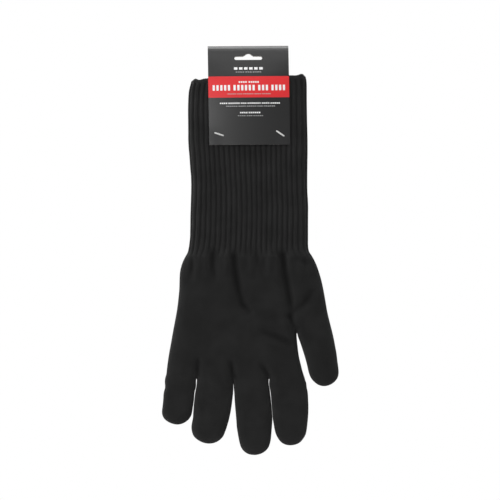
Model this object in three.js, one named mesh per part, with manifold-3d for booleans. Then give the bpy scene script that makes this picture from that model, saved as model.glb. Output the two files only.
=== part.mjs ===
// Heat resistant glove with an extra long ribbed cuff, hanging from its folded header card.
// Millimetres. +Z is up, -Y is the front (the palm side, which carries the printed panel), +X is the thumb side.
// The origin is the top of the card's hang slot, half way between the two panels, where a display peg carries the weight.
import * as THREE from "three";
import Module from "manifold-3d";

const wasm = await Module();
wasm.setup();

// ---- driving dimensions -------------------------------------------------------------------------
const KNIT = 1.8; // wall of the outer heat resistant knit
const LAYER_GAP = 0.3; // air between the knit and the liner
const LINER = 1.0; // wall of the cotton liner
const D_KNIT_IN = KNIT;
const D_LINER_OUT = KNIT + LAYER_GAP;
const D_LINER_IN = KNIT + LAYER_GAP + LINER;

const HINGE_GAP = 0.4; // clearance left at every fold line
const WRIST_Z = -185.4; // fold line between the ribbed cuff and the hand
const WRIST_FLEX = 60, WRIST_EXTEND = 50;
const FLEX_BASE = 75, FLEX_MID = 85, FLEX_TIP = 45, FLEX_LITTLE_TIP = 30; // how far each finger fold closes
const EXTEND_BASE = 20, EXTEND_MID = 5, EXTEND_TIP = 5;
const AXIS_Y = -3.0; // the finger folds crease near the palm side

const CROTCH_Z = -306.4;
const HEM_H = 4.0; // overlocked edge at the mouth

const CARD_W = 76.2, CARD_T = 0.5, CARD_TILT = 1.0; // degrees, the card sits a little askew
const PIN_R = 0.45, PIN_HOLE_R = 0.9;

// Half sections of the cuff from mouth to wrist: z, left, right, half thickness.
const CUFF = [
  [-20.0, -55.6, 54.8, 6.0],
  [-48.0, -56.9, 55.1, 7.0],
  [-86.0, -56.5, 55.5, 7.4],
  [-119.3, -54.1, 55.3, 7.4],
  [-172.2, -55.0, 56.1, 7.4],
  [-191.4, -57.2, 57.8, 7.4],
];
const MOUTH_SLOPE = 0.038; // the mouth runs a little higher on the thumb side
const MOUTH_Z = -22.2;

// The hand from wrist to the finger crotches.
const HAND = [
  [-179.4, -55.6, 56.0, 7.4],
  [-189.0, -57.8, 58.4, 7.5],
  [-198.6, -62.6, 63.4, 7.8],
  [-210.0, -64.5, 67.3, 8.0],
  [-242.0, -67.4, 73.0, 8.0],
  [-262.5, -71.1, 45.5, 8.0],
  [-285.0, -75.1, 47.6, 7.9],
  [CROTCH_Z, -78.0, 52.6, 7.3],
];

// Each finger: base fold line centre, splay towards +X in degrees, half widths at stations along it, half thickness,
// the distances of its folds from the base fold and of its end, and the length of its rounded end.
const FINGERS = {
  index: { x: 37.4, z: -312.5, splay: 3.4, ht: 6.6, folds: [0, 19.5, 38.0], end: 56.8, dome: 17.0,
    hw: [[-16, 16.2], [0, 16.8], [12, 16.9], [28, 16.5], [42, 15.2]] },
  middle: { x: 3.0, z: -312.5, splay: 3.4, ht: 6.6, folds: [0, 22.0, 44.0], end: 66.3, dome: 17.0,
    hw: [[-16, 15.8], [0, 16.2], [14, 16.9], [27, 17.0], [49, 15.1]] },
  ring: { x: -31.4, z: -312.5, splay: -7.4, ht: 6.6, folds: [0, 19.5, 38.0], end: 56.2, dome: 17.0,
    hw: [[-16, 15.8], [0, 16.9], [12, 17.2], [26, 17.0], [40, 15.7]] },
  little: { x: -64.4, z: -312.5, splay: -6.4, ht: 6.3, folds: [0, 13.0, 25.5], end: 37.8, dome: 13.0,
    hw: [[-16, 13.4], [0, 14.1], [13, 14.2], [26, 13.8]] },
};
const THUMB = { x: 65.1, z: -272.3, splay: 12.4, ht: 6.8, folds: [0, 19.0], end: 41.9, dome: 14.5,
  hw: [[-42, 14.6], [-24, 15.5], [0, 15.6], [12, 14.9], [28, 13.8]] };
const FLEX_THUMB = 50, EXTEND_THUMB = 15, FLEX_THUMB_TIP = 60, EXTEND_THUMB_TIP = 5;

// ---- solids -------------------------------------------------------------------------------------
const ARC = 4; // facets round each edge of a flattened section

// A flattened tube's section: points (u across, v through), counter-clockwise seen from above.
function section(hw, ht) {
  const pts = [];
  const flat = hw - Math.min(ht, hw * 0.98);
  for (const side of [1, -1])
    for (let i = 0; i <= ARC; i++) {
      const a = Math.PI * (i / ARC + (side > 0 ? -0.5 : 0.5));
      pts.push([side * flat + (hw - flat) * Math.cos(a), ht * Math.sin(a)]);
    }
  return pts;
}

function solid(verts, tris) {
  return new wasm.Manifold(
    new wasm.Mesh({ numProp: 3, vertProperties: new Float32Array(verts.flat()), triVerts: new Uint32Array(tris.flat()) }),
  );
}

// Skins a list of rings (each a list of [x, y, z], all the same length) from top to bottom.
function loft(rings) {
  const n = rings[0].length, verts = rings.flat(), tris = [];
  for (let k = 0; k + 1 < rings.length; k++)
    for (let i = 0; i < n; i++) {
      const j = (i + 1) % n, a = k * n + i, b = k * n + j, c = a + n, d = b + n;
      tris.push([a, c, b], [b, c, d]);
    }
  const top = verts.length;
  const mean = (ring) => ring.reduce((s, p) => [s[0] + p[0] / n, s[1] + p[1] / n, s[2] + p[2] / n], [0, 0, 0]);
  verts.push(mean(rings[0]), mean(rings.at(-1)));
  const last = (rings.length - 1) * n;
  for (let i = 0; i < n; i++) {
    const j = (i + 1) % n;
    tris.push([top, i, j], [top + 1, last + j, last + i]);
  }
  return solid(verts, tris);
}

// A tube hanging down a table of [z, left, right, half thickness], inset by d; slope leans a ring across X.
function hanging(table, d, slope = 0) {
  return loft(
    table.map(([z, left, right, ht]) => {
      const cx = (left + right) / 2, hw = (right - left) / 2 - d;
      return section(hw, ht - d).map(([u, v]) => [cx + u, v, z + slope * (cx + u)]);
    }),
  );
}

const lerp = (a, b, t) => a + (b - a) * t;
function widthAt(f, s) {
  const t = f.hw;
  if (s <= t[0][0]) return t[0][1];
  for (let i = 0; i + 1 < t.length; i++)
    if (s <= t[i + 1][0]) return lerp(t[i][1], t[i + 1][1], (s - t[i][0]) / (t[i + 1][0] - t[i][0]));
  return t.at(-1)[1];
}

// A finger tube in its own frame (base fold at 0, pointing down -Z), inset by d, between two distances along it.
function fingerTube(f, d, from, to) {
  const end = f.end - d, dome = f.dome - d, start = end - dome;
  const stations = [from];
  for (const [s] of f.hw) if (s > from + 1 && s < Math.min(to, start) - 1) stations.push(s);
  if (to > start) {
    const steps = [0, 0.45, 0.78, 0.97];
    for (const q of steps) if (start + q * dome > from + 0.5) stations.push(start + q * dome);
  } else stations.push(to);
  return loft(
    stations.map((s) => {
      const q = Math.max(0, (s - start) / dome);
      const round = Math.sqrt(Math.max(0.001, 1 - q * q));
      const hw = (widthAt(f, s) - d) * round;
      const ht = Math.min((f.ht - d) * Math.sqrt(Math.max(0.02, 1 - q * q * q * q)), hw * 0.98);
      return section(hw, ht).map(([u, v]) => [u, v, -s]);
    }),
  );
}

// The wedge taken off a tube at a fold, so that it can close by flex and open by extend. above keeps what lies above the fold.
function foldCutter(s, axisY, flex, extend, above, half) {
  const far = 30, deep = 90, k = above ? -1 : 1; // k: which way the kept side leans back
  const cin = Math.tan(THREE.MathUtils.degToRad(flex / 2)) * (far + axisY);
  const cout = Math.tan(THREE.MathUtils.degToRad(extend / 2)) * (far - axisY);
  const g = HINGE_GAP / 2;
  // points are (y, distance along the finger)
  const line = [
    [-far, s + k * (g + cin)],
    [axisY, s + k * g],
    [far, s + k * (g + cout)],
  ];
  const edge = s - k * deep;
  const poly = [...line, [far, edge], [-far, edge]];
  const shape = new THREE.Shape(poly.map(([y, t]) => new THREE.Vector2(y, -t)));
  const g3 = new THREE.ExtrudeGeometry(shape, { depth: 2 * half, bevelEnabled: false });
  // shape x -> world y, shape y -> world z, depth -> world x
  const m = new THREE.Matrix4().set(0, 0, 1, -half, 1, 0, 0, 0, 0, 1, 0, 0, 0, 0, 0, 1);
  g3.applyMatrix4(m);
  return fromGeometry(g3);
}

function fromGeometry(geometry) {
  const g = geometry.index ? geometry.toNonIndexed() : geometry;
  const p = g.getAttribute("position").array, verts = [], tris = [], seen = new Map();
  for (let i = 0; i < p.length; i += 9) {
    const t = [];
    for (let j = 0; j < 9; j += 3) {
      const key = [p[i + j], p[i + j + 1], p[i + j + 2]].map((x) => Math.round(x * 1e4)).join();
      if (!seen.has(key)) seen.set(key, verts.push([p[i + j], p[i + j + 1], p[i + j + 2]]) - 1);
      t.push(seen.get(key));
    }
    if (t[0] !== t[1] && t[1] !== t[2] && t[0] !== t[2]) tris.push(t);
  }
  return solid(verts, tris);
}

function toGeometry(manifold) {
  const m = manifold.getMesh();
  const pos = new Float32Array(m.numVert * 3);
  for (let i = 0; i < m.numVert; i++) pos.set(m.vertProperties.subarray(i * m.numProp, i * m.numProp + 3), i * 3);
  const g = new THREE.BufferGeometry();
  g.setAttribute("position", new THREE.BufferAttribute(pos, 3));
  g.setIndex(new THREE.BufferAttribute(m.triVerts, 1));
  g.computeVertexNormals();
  return g;
}

const knitMat = (name) => new THREE.MeshStandardMaterial({ name, color: 0x202020, roughness: 0.95, metalness: 0 });
const linerMat = (name) => new THREE.MeshStandardMaterial({ name, color: 0x2b2a29, roughness: 0.98, metalness: 0 });
const hemMat = new THREE.MeshStandardMaterial({ name: "hem", color: 0x191919, roughness: 0.9, metalness: 0 });
const cardMat = new THREE.MeshStandardMaterial({ name: "card", color: 0x3a3a3a, roughness: 0.45, metalness: 0 });
const pinMat = new THREE.MeshStandardMaterial({ name: "pin", color: 0xe9e9e6, roughness: 0.35, metalness: 0 });

const object = new THREE.Group();
object.name = "heat_resistant_glove";
function part(group, name, manifold, material) {
  const mesh = new THREE.Mesh(toGeometry(manifold), material);
  mesh.name = name;
  group.add(mesh);
  return mesh;
}

const deg = THREE.MathUtils.degToRad;
// A finger's frame in the hand's frame: rotated about Y so that -Z leans towards +X by the splay.
function place(f, manifold) {
  return manifold.rotate([0, -f.splay, 0]).translate([f.x, 0, f.z]);
}

// ---- cuff: ribbed tube, liner, overlocked hem ------------------------------------------------------
const aboveMouth = (z0) => {
  // everything above a plane that leans with the mouth
  const half = 90, high = 60;
  const s = new THREE.Shape([
    new THREE.Vector2(-half, z0 - half * MOUTH_SLOPE),
    new THREE.Vector2(half, z0 + half * MOUTH_SLOPE),
    new THREE.Vector2(half, z0 + high),
    new THREE.Vector2(-half, z0 + high),
  ]);
  const g = new THREE.ExtrudeGeometry(s, { depth: 60, bevelEnabled: false });
  g.applyMatrix4(new THREE.Matrix4().set(1, 0, 0, 0, 0, 0, -1, 30, 0, 1, 0, 0, 0, 0, 0, 1));
  return fromGeometry(g);
};
const tall = (table, up) => [[table[0][0] + up, table[0][1], table[0][2], table[0][3]], ...table];
const wristAbove = foldCutter(-WRIST_Z, 0, WRIST_FLEX, WRIST_EXTEND, true, 90);
const wristBelow = foldCutter(-WRIST_Z, 0, WRIST_FLEX, WRIST_EXTEND, false, 90);

// tag pins: where each passes through the card and the cuff, and how its bar is turned
const PINS = [
  { name: "tag_pin_left", x: -27.3, z: -76.4, turn: 17.7 },
  { name: "tag_pin_right", x: 30.3, z: -75.7, turn: 33.7 },
];
const pinHole = (p) => {
  const g = new THREE.CylinderGeometry(PIN_HOLE_R, PIN_HOLE_R, 40, 8);
  g.translate(p.x, 0, 0);
  return fromGeometry(g).translate([0, 0, p.z]);
};
const pinHoles = PINS.map(pinHole).reduce((a, b) => a.add(b));

const cuffBody = (dOut, dIn, zTop) =>
  hanging(tall(CUFF, 12), dOut)
    .subtract(hanging(tall([[CUFF[0][0] + 1, ...CUFF[0].slice(1)], ...CUFF.slice(1, -1), [CUFF.at(-1)[0] - 4, ...CUFF.at(-1).slice(1)]], 20), dIn))
    .subtract(aboveMouth(zTop))
    .subtract(wristAbove);
const cuffKnit = cuffBody(0, D_KNIT_IN, MOUTH_Z - HEM_H - 0.3).subtract(pinHoles);
const cuffLiner = cuffBody(D_LINER_OUT, D_LINER_IN, MOUTH_Z - HEM_H - 0.3).subtract(pinHoles);
const hem = hanging(tall(CUFF, 12), -0.4)
  .subtract(hanging(tall(CUFF, 20), D_LINER_IN - 0.1))
  .subtract(aboveMouth(MOUTH_Z))
  .intersect(aboveMouth(MOUTH_Z - HEM_H));

const cuffGroup = new THREE.Group();
part(cuffGroup, "cuff_ribbed_knit", cuffKnit, knitMat("cuff_knit"));
part(cuffGroup, "cuff_liner", cuffLiner, linerMat("cuff_liner"));
part(cuffGroup, "cuff_overlock_hem", hem, hemMat);
object.add(cuffGroup);

// ---- header card ----------------------------------------------------------------------------------
// Outer line of the front panel from the bottom edge to the fold: [y, z].
const PANEL = [[-8.7, -86.3], [-8.2, -66.0], [-8.2, -36.0], [-7.3, -21.0], [-2.4, 1.5], [-1.4, 5.2]];
const FOLD_TOP = 6.9;
function cardOutline(t) {
  // the sheet's mid lines offset by t towards the inside
  const front = PANEL.map(([y, z]) => [y, z]);
  const pts = [...front, [-0.75, FOLD_TOP - 0.35], [0, FOLD_TOP], [0.75, FOLD_TOP - 0.35], ...front.slice().reverse().map(([y, z]) => [-y, z])];
  return pts.map(([y, z], i) => {
    const a = pts[Math.max(0, i - 1)], b = pts[Math.min(pts.length - 1, i + 1)];
    const ty = b[0] - a[0], tz = b[1] - a[1], l = Math.hypot(ty, tz);
    return [y + (tz / l) * t, z - (ty / l) * t];
  });
}
const outerLine = cardOutline(0), innerLine = cardOutline(CARD_T);
innerLine[0][1] = outerLine[0][1];
innerLine.at(-1)[1] = outerLine.at(-1)[1];
const cardShape = new THREE.Shape([...outerLine, ...innerLine.slice().reverse()].map(([y, z]) => new THREE.Vector2(y, z)));
const cardGeo = new THREE.ExtrudeGeometry(cardShape, { depth: CARD_W, bevelEnabled: false });
cardGeo.applyMatrix4(new THREE.Matrix4().set(0, 0, 1, -CARD_W / 2, 1, 0, 0, 0, 0, 1, 0, 0, 0, 0, 0, 1));
// hang slot: a bar with rounded ends and a raised centre that finds the peg
const slot = new THREE.Shape();
slot.moveTo(-11.4, -6.1);
slot.lineTo(11.4, -6.1);
slot.absarc(11.4, -4.3, 1.8, -Math.PI / 2, Math.PI / 2, false);
slot.lineTo(4.0, -2.5);
slot.lineTo(3.1, -1.2);
slot.lineTo(1.5, 0);
slot.lineTo(-1.5, 0);
slot.lineTo(-3.1, -1.2);
slot.lineTo(-4.0, -2.5);
slot.lineTo(-11.4, -2.5);
slot.absarc(-11.4, -4.3, 1.8, Math.PI / 2, (3 * Math.PI) / 2, false);
const slotGeo = new THREE.ExtrudeGeometry(slot, { depth: 40, bevelEnabled: false, curveSegments: 4 });
slotGeo.applyMatrix4(new THREE.Matrix4().set(1, 0, 0, 0, 0, 0, -1, 20, 0, 1, 0, 0, 0, 0, 0, 1));

const cardGroup = new THREE.Group(); // the card turns a little about the slot's top
cardGroup.rotation.y = deg(-CARD_TILT);
object.add(cardGroup);
const unTilt = (p) => {
  const a = deg(CARD_TILT);
  // where a world point lies in the card's own frame
  return { x: p.x * Math.cos(a) + p.z * Math.sin(a), z: -p.x * Math.sin(a) + p.z * Math.cos(a) };
};
const cardHoles = PINS.map((p) => pinHole({ ...p, ...unTilt(p) })).reduce((a, b) => a.add(b));
const card = fromGeometry(cardGeo).subtract(fromGeometry(slotGeo)).subtract(cardHoles);
part(cardGroup, "header_card", card, cardMat);

// ---- tag pins ----------------------------------------------------------------------------------------
for (const p of PINS) {
  const bar = new THREE.CapsuleGeometry(0.65, 8.0, 3, 8);
  bar.rotateZ(Math.PI / 2);
  bar.translate(0, -9.45, 0);
  const filament = new THREE.CylinderGeometry(PIN_R, PIN_R, 18.6, 8);
  filament.translate(0, -0.05, 0);
  const paddle = new THREE.CylinderGeometry(2.4, 2.4, 0.9, 12);
  paddle.scale(1.7, 1, 1);
  paddle.translate(0, 9.3, 0);
  const m = fromGeometry(bar).add(fromGeometry(filament)).add(fromGeometry(paddle));
  const pin = part(object, p.name, m, pinMat);
  pin.position.set(p.x, 0, p.z);
  pin.rotation.y = deg(p.turn);
}

// ---- hand ---------------------------------------------------------------------------------------------
const all = { ...FINGERS, thumb: THUMB };
const flexOf = (name, k) =>
  name === "thumb" ? [FLEX_THUMB, FLEX_THUMB_TIP][k] : [FLEX_BASE, FLEX_MID, name === "little" ? FLEX_LITTLE_TIP : FLEX_TIP][k];
const extendOf = (name, k) => (name === "thumb" ? [EXTEND_THUMB, EXTEND_THUMB_TIP][k] : [EXTEND_BASE, EXTEND_MID, EXTEND_TIP][k]);

function handBody(d, reach) {
  // the palm loft, its lower wall moved up by d, joined with a short root for every finger
  const table = HAND.map((r) => r.slice());
  table.at(-1)[0] = CROTCH_Z + d;
  let m = hanging(reach ? tall(table, 8) : table, d);
  for (const [name, f] of Object.entries(all)) {
    let root = fingerTube(f, d, f.hw[0][0] + 3 + 1.2 * d, reach ? 6 : 3);
    if (!reach) root = root.subtract(foldCutter(0, AXIS_Y, flexOf(name, 0), extendOf(name, 0), true, 60));
    m = m.add(place(f, root));
  }
  return m;
}
const handKnit = handBody(0, false).subtract(handBody(D_KNIT_IN, true)).subtract(wristBelow);
const handLiner = handBody(D_LINER_OUT, false).subtract(handBody(D_LINER_IN, true)).subtract(wristBelow);
const handGroup = new THREE.Group();
object.add(handGroup);
part(handGroup, "hand_knit", handKnit, knitMat("hand_knit"));
part(handGroup, "hand_liner", handLiner, linerMat("hand_liner"));

// ---- fingers: each fold carries the next segment -------------------------------------------------------
const SEGMENTS = ["base", "mid", "tip"];
for (const [name, f] of Object.entries(all)) {
  const last = f.folds.length - 1;
  const frame = new THREE.Group(); // the finger's frame, at its base fold
  frame.position.set(f.x, 0, f.z);
  frame.rotation.y = deg(-f.splay);
  handGroup.add(frame);
  let carrier = frame;
  for (let k = 0; k <= last; k++) {
    const s0 = f.folds[k], s1 = k < last ? f.folds[k + 1] : f.end;
    const label = k === last ? "tip" : SEGMENTS[k];
    const hold = new THREE.Group(); // origin on this segment's fold line
    hold.position.z = -(s0 - (k ? f.folds[k - 1] : 0));
    carrier.add(hold);
    carrier = hold;
    const cutTop = foldCutter(s0, AXIS_Y, flexOf(name, k), extendOf(name, k), false, 60);
    const make = (dOut, dIn) => {
      let m = fingerTube(f, dOut, s0 - 5, k === last ? f.end : s1 + 5);
      m = m.subtract(fingerTube(f, dIn, s0 - 9, k === last ? f.end : s1 + 9)).subtract(cutTop);
      if (k < last) m = m.subtract(foldCutter(s1, AXIS_Y, flexOf(name, k + 1), extendOf(name, k + 1), true, 60));
      return m.translate([0, 0, s0]);
    };
    part(hold, `${name}_${label}_knit`, make(0, D_KNIT_IN), knitMat("finger_knit"));
    part(hold, `${name}_${label}_liner`, make(D_LINER_OUT, D_LINER_IN), linerMat("finger_liner"));
  }
}

export default object;
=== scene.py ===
"""Heat resistant knitted glove with an extra long ribbed cuff, hanging from its folded header card.
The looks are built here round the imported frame: knit, ribs, lining, overlocked edge, printed board and tag pins."""
import bpy
import math
import numpy as np
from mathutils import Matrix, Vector


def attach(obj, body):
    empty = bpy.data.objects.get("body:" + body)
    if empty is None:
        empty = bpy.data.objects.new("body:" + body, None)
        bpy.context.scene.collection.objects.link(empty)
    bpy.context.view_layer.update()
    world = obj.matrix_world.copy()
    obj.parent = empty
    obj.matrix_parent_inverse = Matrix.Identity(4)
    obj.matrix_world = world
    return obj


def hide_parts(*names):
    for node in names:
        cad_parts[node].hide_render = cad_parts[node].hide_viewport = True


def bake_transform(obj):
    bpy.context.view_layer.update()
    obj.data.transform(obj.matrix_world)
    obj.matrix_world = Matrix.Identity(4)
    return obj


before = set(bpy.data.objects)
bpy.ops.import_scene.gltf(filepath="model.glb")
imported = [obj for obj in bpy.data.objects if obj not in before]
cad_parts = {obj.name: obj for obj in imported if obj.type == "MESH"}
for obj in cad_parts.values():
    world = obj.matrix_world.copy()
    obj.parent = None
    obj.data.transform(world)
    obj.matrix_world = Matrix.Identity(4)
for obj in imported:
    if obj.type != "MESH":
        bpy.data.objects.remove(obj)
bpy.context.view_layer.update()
scene = bpy.context.scene
MM = 0.001

# ------------------------------------------------------------------------------------------------
# camera first
# ------------------------------------------------------------------------------------------------
FRAME_MM = 472.5          # what the square view spans at the glove
DIST = 2.6
cam_data = bpy.data.cameras.new("camera")
cam_data.sensor_width = 36.0
cam_data.lens = 36.0 * DIST / (FRAME_MM * MM)
cam_data.clip_end = 50.0
cam = bpy.data.objects.new("camera", cam_data)
scene.collection.objects.link(cam)
cam.location = (0.00175, -DIST, -0.1854)
cam.rotation_euler = (math.radians(90), 0, 0)
scene.camera = cam

# ------------------------------------------------------------------------------------------------
# small tools
# ------------------------------------------------------------------------------------------------
def smooth01(t):
    t = np.clip(t, 0.0, 1.0)
    return t * t * (3 - 2 * t)


def ramp(v, a, b):
    return smooth01((v - a) / (b - a))


_lat = {}


def noise2(x, z, scale, seed):
    """Smooth value noise, -1 to 1, the same every run."""
    if seed not in _lat:
        _lat[seed] = np.random.RandomState(seed).uniform(-1, 1, (64, 64))
    g = _lat[seed]
    u, v = x / scale + 500.0, z / scale + 500.0
    i, j = np.floor(u).astype(int), np.floor(v).astype(int)
    fu, fv = u - i, v - j
    fu, fv = fu * fu * (3 - 2 * fu), fv * fv * (3 - 2 * fv)
    i0, j0, i1, j1 = i % 64, j % 64, (i + 1) % 64, (j + 1) % 64
    return (g[i0, j0] * (1 - fu) + g[i1, j0] * fu) * (1 - fv) + (g[i0, j1] * (1 - fu) + g[i1, j1] * fu) * fv


def add_mesh(name, verts, faces, materials, normals=None, attrs=None, face_mats=None, smooth=True, corner=None):
    """verts in millimetres."""
    me = bpy.data.meshes.new(name)
    v = (np.asarray(verts, float) * MM)
    me.from_pydata(v.tolist(), [], [tuple(int(i) for i in f) for f in faces])
    for m in materials:
        me.materials.append(m)
    if face_mats is not None:
        me.polygons.foreach_set("material_index", np.asarray(face_mats, np.int32))
    me.polygons.foreach_set("use_smooth", np.full(len(me.polygons), bool(smooth)))
    for key, val in (attrs or {}).items():
        a = me.attributes.new(key, "FLOAT_VECTOR", "POINT")
        a.data.foreach_set("vector", np.asarray(val, np.float32).ravel())
    for key, val in (corner or {}).items():
        a = me.attributes.new(key, "FLOAT_VECTOR", "CORNER")
        a.data.foreach_set("vector", np.asarray(val, np.float32).ravel())
    me.update()
    if normals is not None:
        me.normals_split_custom_set_from_vertices(np.asarray(normals, float).tolist())
    ob = bpy.data.objects.new(name, me)
    scene.collection.objects.link(ob)
    return ob


def vertex_normals(verts, quads):
    a, b, c, d = (verts[quads[:, k]] for k in range(4))
    n = np.cross(c - a, d - b)
    out = np.zeros_like(verts)
    for k in range(4):
        np.add.at(out, quads[:, k], n)
    l = np.linalg.norm(out, axis=1, keepdims=True)
    return out / np.maximum(l, 1e-12)


# ------------------------------------------------------------------------------------------------
# outline of the glove's hand, seen from the front: X, Z in millimetres
# ------------------------------------------------------------------------------------------------
LEFT = [(-53.77, -138.2), (-53.95, -145.7), (-54.14, -153.3), (-54.32, -164.6), (-54.5, -172.2), (-55.19, -179.7), (-56.8, -187.3), (-59.09, -191.1), (-60.99, -194.9), (-62.53, -198.6), (-63.65, -202.4), (-64.4, -206.2), (-64.7, -210.0), (-64.9, -215.6), (-65.1, -222.3), (-65.7, -228.9), (-66.5, -236.4), (-67.6, -244.0), (-69.0, -251.6), (-70.4, -259.1), (-71.8, -266.7), (-73.1, -274.2), (-74.5, -281.8), (-75.7, -289.4), (-76.7, -296.9), (-77.8, -304.5)]
LITTLE = [(-78.7, -312.0), (-79.68, -319.6), (-80.3, -327.2), (-81.0, -333.8), (-81.48, -338.5), (-80.59, -342.7), (-77.95, -346.2), (-72.97, -349.1), (-66.94, -350.4), (-61.4, -349.2), (-56.89, -346.2), (-54.03, -342.3), (-52.85, -338.0), (-52.04, -332.8), (-51.1, -326.2), (-50.16, -317.7), (-49.2, -309.7)]
RING = [(-48.57, -309.7), (-49.66, -317.7), (-50.8, -326.2), (-51.47, -332.8), (-51.89, -338.5), (-52.22, -344.2), (-53.18, -348.9), (-53.62, -353.1), (-53.01, -357.4), (-51.28, -361.6), (-47.31, -365.1), (-42.37, -367.5), (-36.79, -368.4), (-31.43, -367.5), (-27.03, -365.1), (-23.61, -361.5), (-21.82, -357.4), (-20.4, -353.6), (-19.28, -349.8), (-18.2, -346.1), (-17.36, -342.3), (-16.39, -337.6), (-15.49, -331.9), (-14.76, -326.2), (-14.17, -320.5), (-13.94, -314.9), (-13.84, -311.1)]
MIDDLE = [(-13.88, -311.1), (-13.58, -315.8), (-13.1, -321.5), (-12.81, -327.2), (-12.31, -333.8), (-11.71, -340.4), (-11.17, -347.0), (-10.67, -353.6), (-9.56, -360.2), (-8.39, -366.4), (-6.62, -372.07), (-3.54, -375.97), (0.68, -378.39), (6.1, -379.13), (11.37, -378.2), (15.8, -375.79), (19.06, -372.26), (20.89, -367.3), (21.73, -362.1), (22.16, -356.5), (22.66, -350.8), (22.89, -345.1), (22.56, -338.5), (22.08, -331.9), (21.34, -325.3), (20.47, -317.7), (19.4, -311.1)]
INDEX = [(19.74, -311.1), (20.8, -317.7), (21.63, -325.3), (22.22, -331.9), (22.69, -338.5), (23.07, -344.2), (24.11, -349.8), (24.9, -354.6), (26.36, -359.8), (29.32, -365.0), (33.15, -368.4), (38.66, -370.0), (44.75, -369.3), (49.11, -367.1), (52.01, -363.8), (54.33, -359.8), (55.45, -354.6), (56.12, -348.9), (56.74, -342.3), (57.03, -334.7), (56.75, -326.2), (56.17, -318.7), (55.07, -312.0), (53.62, -307.3), (51.59, -300.7), (49.79, -293.6), (48.09, -286.5), (47.06, -279.0), (46.35, -272.8), (45.91, -267.6)]
THUMB = [(47.19, -267.6), (49.15, -272.8), (51.24, -279.0), (53.47, -286.1), (55.54, -293.6), (57.14, -300.7), (59.26, -306.22), (62.76, -310.31), (67.19, -313.24), (72.04, -314.08), (77.23, -312.93), (81.25, -310.31), (84.25, -306.64), (85.57, -301.6), (85.18, -296.0), (84.42, -290.3), (83.55, -283.2), (82.35, -276.6), (81.01, -269.5), (79.52, -262.9), (78.07, -257.2)]
RIGHT = [(76.66, -251.6), (74.87, -244.0), (73.55, -236.4), (72.28, -228.9), (70.94, -221.8), (69.27, -214.2), (66.95, -206.2), (64.2, -198.6), (60.52, -191.3), (57.59, -187.3), (56.36, -183.0), (56.06, -176.0), (56.07, -164.6), (56.08, -153.3), (56.18, -145.7), (55.99, -138.2)]
C_LR, C_RM, C_MI, C_TI = (-48.4, -306.0), (-13.9, -307.5), (19.9, -306.2), (45.8, -262.1)
# the fingers are drawn apart while the surface is made, then put back side by side
SPREAD = {"little": -5.0, "ring": -2.0, "middle": 0.0, "index": 3.0, "thumb": 3.0}


def spread_at(z):
    return ramp(z, -304.5, -317.0)


outline, owner = [], []
for pts, who in ((LEFT, "little"), (LITTLE, "little"), ([C_LR], None), (RING, "ring"), ([C_RM], None), (MIDDLE, "middle"), ([C_MI], None),
                 (INDEX, "index"), ([C_TI], None), (THUMB, "thumb"), (RIGHT, "thumb")):
    for p in pts:
        outline.append(p)
        owner.append(who)
outline = np.array(outline, float)
shift = np.array([0.0 if w is None else SPREAD[w] for w in owner])
wide = outline.copy()
wide[:, 0] += shift * spread_at(outline[:, 1])


def catmull(p, n):
    """A closed curve through p, n points for each span."""
    a, b, c, d = np.roll(p, 1, 0), p, np.roll(p, -1, 0), np.roll(p, -2, 0)
    out = []
    for k in range(n):
        t = k / n
        out.append(0.5 * ((2 * b) + (c - a) * t + (2 * a - 5 * b + 4 * c - d) * t * t + (3 * b - a - 3 * c + d) * t ** 3))
    return np.stack(out, 1).reshape(-1, 2)


curve = catmull(wide, 3)


def signed_distance(poly, X, Z):
    """Distance inside a closed outline, negative outside."""
    best = np.full(X.shape, 1e12)
    inside = np.zeros(X.shape, bool)
    for a, b in zip(poly, np.roll(poly, -1, 0)):
        ab = b - a
        l2 = max(ab @ ab, 1e-12)
        t = np.clip(((X - a[0]) * ab[0] + (Z - a[1]) * ab[1]) / l2, 0, 1)
        dx, dz = X - (a[0] + t * ab[0]), Z - (a[1] + t * ab[1])
        np.minimum(best, dx * dx + dz * dz, out=best)
        if a[1] != b[1]:
            inside ^= ((a[1] > Z) != (b[1] > Z)) & (X < a[0] + (Z - a[1]) * ab[0] / ab[1])
    d = np.sqrt(best)
    return np.where(inside, d, -d)


GX, GZ, GS = np.arange(-96, 98.01, 0.6), np.arange(-392, -150, 0.6), 0.6
gx, gz = np.meshgrid(GX, GZ, indexing="ij")
SDF = signed_distance(curve, gx, gz)


def bilinear(G, x, z):
    u, v = (x - GX[0]) / GS, (z - GZ[0]) / GS
    i = np.clip(np.floor(u).astype(int), 0, len(GX) - 2)
    j = np.clip(np.floor(v).astype(int), 0, len(GZ) - 2)
    fu, fv = u - i, v - j
    return (G[i, j] * (1 - fu) + G[i + 1, j] * fu) * (1 - fv) + (G[i, j + 1] * (1 - fu) + G[i + 1, j + 1] * fu) * fv


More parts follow.
